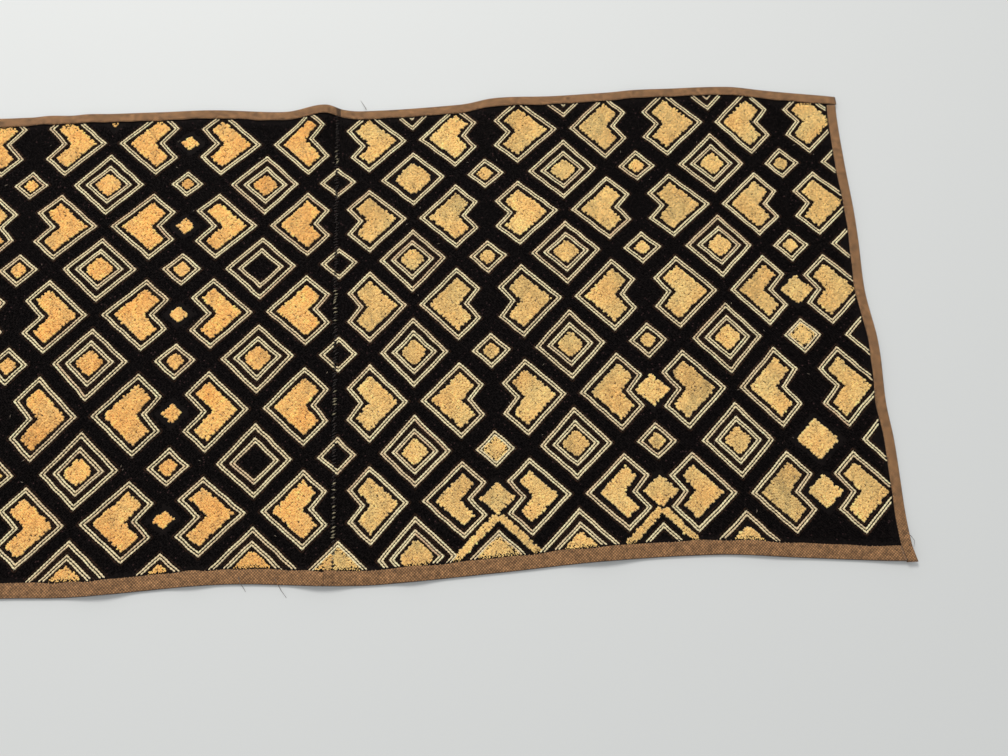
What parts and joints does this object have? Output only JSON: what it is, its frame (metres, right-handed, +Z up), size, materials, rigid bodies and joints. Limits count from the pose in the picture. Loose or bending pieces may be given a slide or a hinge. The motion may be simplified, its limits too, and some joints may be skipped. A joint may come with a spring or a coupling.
{
  "type": "kuba raffia cloth",
  "caption": "Flat raffia cloth of embroidered panels sewn side by side, with cut pile in a diamond pattern and a folded raffia strip round its edge.",
  "frame": {"origin": "centre of the cloth's box in plan, on the surface that it lies on", "axes": "+X along the cloth's length, from the left panel to the right one; +Y across it, from the lower edge to the upper one; +Z up, out of the pile"},
  "size_m": [1.164, 0.5513, 0.0101],
  "materials": {
    "raffia_ground": "plain-woven raffia, dyed dark on top and natural below",
    "gold_pile": "cut raffia pile, natural gold",
    "black_pile": "cut raffia pile, dyed black",
    "cream_stitch": "raffia stem stitch, natural cream, slightly glossy",
    "brown_stitch": "raffia stem stitch, dyed dark brown",
    "raffia_strip": "plain-woven raffia strip, folded over the edge"
  },
  "bodies": {
    "root": {"panel_left": "raffia_ground", "panel_right": "raffia_ground", "binding_top_left": "raffia_strip", "binding_top_right": "raffia_strip", "binding_bottom_left": "raffia_strip", "binding_bottom_right": "raffia_strip", "binding_left": "raffia_strip", "binding_right": "raffia_strip"}
  },
  "joints": []
}
